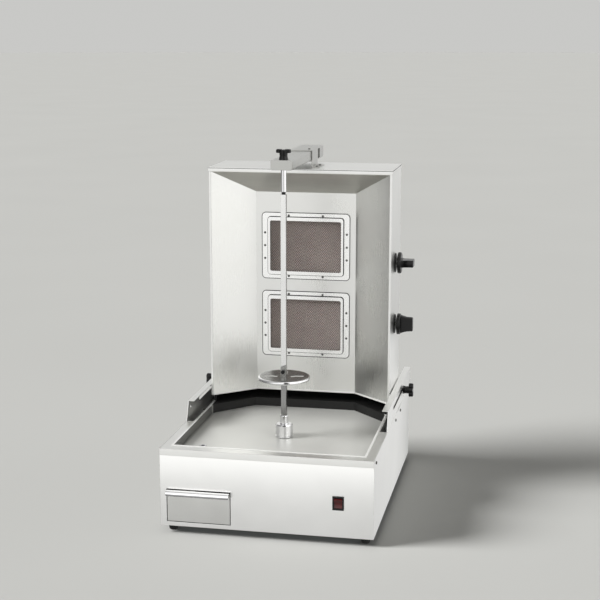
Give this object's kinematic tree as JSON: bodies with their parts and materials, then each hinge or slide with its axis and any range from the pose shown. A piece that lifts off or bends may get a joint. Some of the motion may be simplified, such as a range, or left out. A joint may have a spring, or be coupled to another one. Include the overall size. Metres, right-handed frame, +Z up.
{
  "type": "rotisserie oven",
  "caption": "Table-top gas doner rotisserie: sliding head with infrared burners, powered vertical spit in a drip pan, top centre arm and a fat drawer.",
  "frame": {"origin": "middle of the footprint, on the plane that the feet stand on", "axes": "+Z up the spit, -Y out of the front panel, +X to the side with the gas knobs"},
  "size_m": [0.5275, 0.671, 0.8365],
  "materials": {
    "satin_stainless": "satin, fine straight grain",
    "pan_stainless": "bright annealed sheet",
    "reflector_stainless": "bright annealed sheet, soft mirror",
    "frame_stainless": "satin, pressed",
    "polished_steel": "polished",
    "disc_steel": "turned",
    "screw_steel": "plain",
    "galvanised_sheet": "galvanised",
    "black_phenolic": "glossy moulding",
    "black_nylon": "fine satin moulding",
    "foot_rubber": "matt",
    "red_rocker": "translucent glossy moulding",
    "burner_wire": "heat-tinted woven wire",
    "burner_ceramic": "porous fired tile",
    "brass": "machined",
    "copper_tube": "drawn copper",
    "steel_pipe": "zinc plated",
    "cast_gearbox": "die cast",
    "motor_enamel": "satin enamel"
  },
  "bodies": {
    "base": {"base_front_panel": "satin_stainless", "base_left_panel": "satin_stainless", "base_right_panel": "satin_stainless", "base_rear_panel": "satin_stainless", "base_bottom_plate": "galvanised_sheet", "top_deck": "satin_stainless", "drip_pan": "pan_stainless", "drain_spout": "polished_steel", "left_slide_rail": "satin_stainless", "right_slide_rail": "satin_stainless", "feet": "foot_rubber", "drawer_runners": "galvanised_sheet", "base_screws": "screw_steel", "switch_housing": "black_nylon", "mains_gland": "black_nylon", "motor_bracket": "galvanised_sheet", "gearbox_case": "cast_gearbox", "motor_can": "motor_enamel", "spindle_bearing": "brass"},
    "spit": {"spindle_shaft": "polished_steel", "drive_hub": "polished_steel", "skewer_bar": "polished_steel"},
    "disc": {"meat_disc": "disc_steel"},
    "disc_thumbscrew": {"disc_screw": "black_phenolic"},
    "head": {"head_left_panel": "satin_stainless", "head_right_panel": "satin_stainless", "head_back_panel": "satin_stainless", "head_top_cover": "satin_stainless", "head_bottom_plate": "galvanised_sheet", "back_reflector": "reflector_stainless", "left_reflector": "reflector_stainless", "right_reflector": "reflector_stainless", "hood_reflector": "reflector_stainless", "upper_burner_frame": "frame_stainless", "lower_burner_frame": "frame_stainless", "burner_meshes": "burner_wire", "burner_tiles": "burner_ceramic", "burner_boxes": "galvanised_sheet", "mixer_tubes": "galvanised_sheet", "gas_injectors": "brass", "feed_tubes": "copper_tube", "head_screws": "screw_steel", "gas_manifold": "steel_pipe", "valve_bodies": "brass", "knob_bezels": "black_nylon", "arm_sleeve": "satin_stainless", "glide_strips": "black_nylon"},
    "upper_spindle": {"upper_valve_spindle": "brass"},
    "lower_spindle": {"lower_valve_spindle": "brass"},
    "upper_knob": {"upper_gas_knob": "black_phenolic"},
    "lower_knob": {"lower_gas_knob": "black_phenolic"},
    "left_clamp": {"left_clamp_knob": "black_phenolic"},
    "right_clamp": {"right_clamp_knob": "black_phenolic"},
    "arm": {"arm_bar": "satin_stainless"},
    "centre_point": {"centre_tip": "black_nylon"},
    "centre_spindle": {"centre_screw": "polished_steel", "centre_knob": "black_phenolic"},
    "drawer": {"drawer_tray": "pan_stainless", "drawer_front": "polished_steel"},
    "switch_rocker": {"rocker": "red_rocker"}
  },
  "joints": [
    {"name": "spit_turn", "type": "hinge", "parent": "base", "child": "spit", "pos_m": [0, -0.12, 0.207], "axis": [0, 0, 1], "continuous": true},
    {"name": "disc_slide", "type": "slide", "parent": "spit", "child": "disc", "axis": [0, 0, 1], "range_m": [-0.075, 0.36]},
    {"name": "disc_screw_turn", "type": "hinge", "parent": "disc", "child": "disc_thumbscrew", "pos_m": [0, -0.135, 0.332], "axis": [0, -1, 0], "range_deg": [0, 360]},
    {"name": "head_slide", "type": "slide", "parent": "base", "child": "head", "axis": [0, -1, 0], "range_m": [0, 0.16]},
    {"name": "arm_slide", "type": "slide", "parent": "head", "child": "arm", "axis": [0, 1, 0], "range_m": [0, 0.161]},
    {"name": "centre_lift", "type": "slide", "parent": "arm", "child": "centre_point", "axis": [0, 0, 1], "range_m": [0, 0.015]},
    {"name": "centre_turn", "type": "hinge", "parent": "centre_point", "child": "centre_spindle", "pos_m": [0, -0.12, 0.818], "axis": [0, 0, 1], "range_deg": [0, 1800]},
    {"name": "upper_valve_turn", "type": "hinge", "parent": "head", "child": "upper_spindle", "pos_m": [0.22, 0.138, 0.546], "axis": [1, 0, 0], "range_deg": [0, 180]},
    {"name": "upper_valve_push", "type": "slide", "parent": "upper_spindle", "child": "upper_knob", "axis": [-1, 0, 0], "range_m": [0, 0.004], "stiffness_N_per_m": 400, "springref_m": -0.002},
    {"name": "lower_valve_turn", "type": "hinge", "parent": "head", "child": "lower_spindle", "pos_m": [0.22, 0.138, 0.396], "axis": [1, 0, 0], "range_deg": [-90, 90]},
    {"name": "lower_valve_push", "type": "slide", "parent": "lower_spindle", "child": "lower_knob", "axis": [-1, 0, 0], "range_m": [0, 0.004], "stiffness_N_per_m": 400, "springref_m": -0.002},
    {"name": "left_clamp_turn", "type": "hinge", "parent": "head", "child": "left_clamp", "pos_m": [-0.25, 0.178, 0.221], "axis": [-1, 0, 0], "range_deg": [0, 360]},
    {"name": "right_clamp_turn", "type": "hinge", "parent": "head", "child": "right_clamp", "pos_m": [0.25, 0.178, 0.221], "axis": [1, 0, 0], "range_deg": [0, 360]},
    {"name": "drawer_slide", "type": "slide", "parent": "base", "child": "drawer", "axis": [0, -1, 0], "range_m": [0, 0.2]},
    {"name": "rocker_tilt", "type": "hinge", "parent": "base", "child": "switch_rocker", "pos_m": [0.1605, -0.317, 0.0958], "axis": [-1, 0, 0], "range_deg": [0, 20]}
  ],
  "couplings": [
    {"joint": "arm_slide", "follows": "head_slide", "ratio": 1},
    {"joint": "centre_turn", "follows": "centre_lift", "rad_per_m": 2094.4}
  ]
}
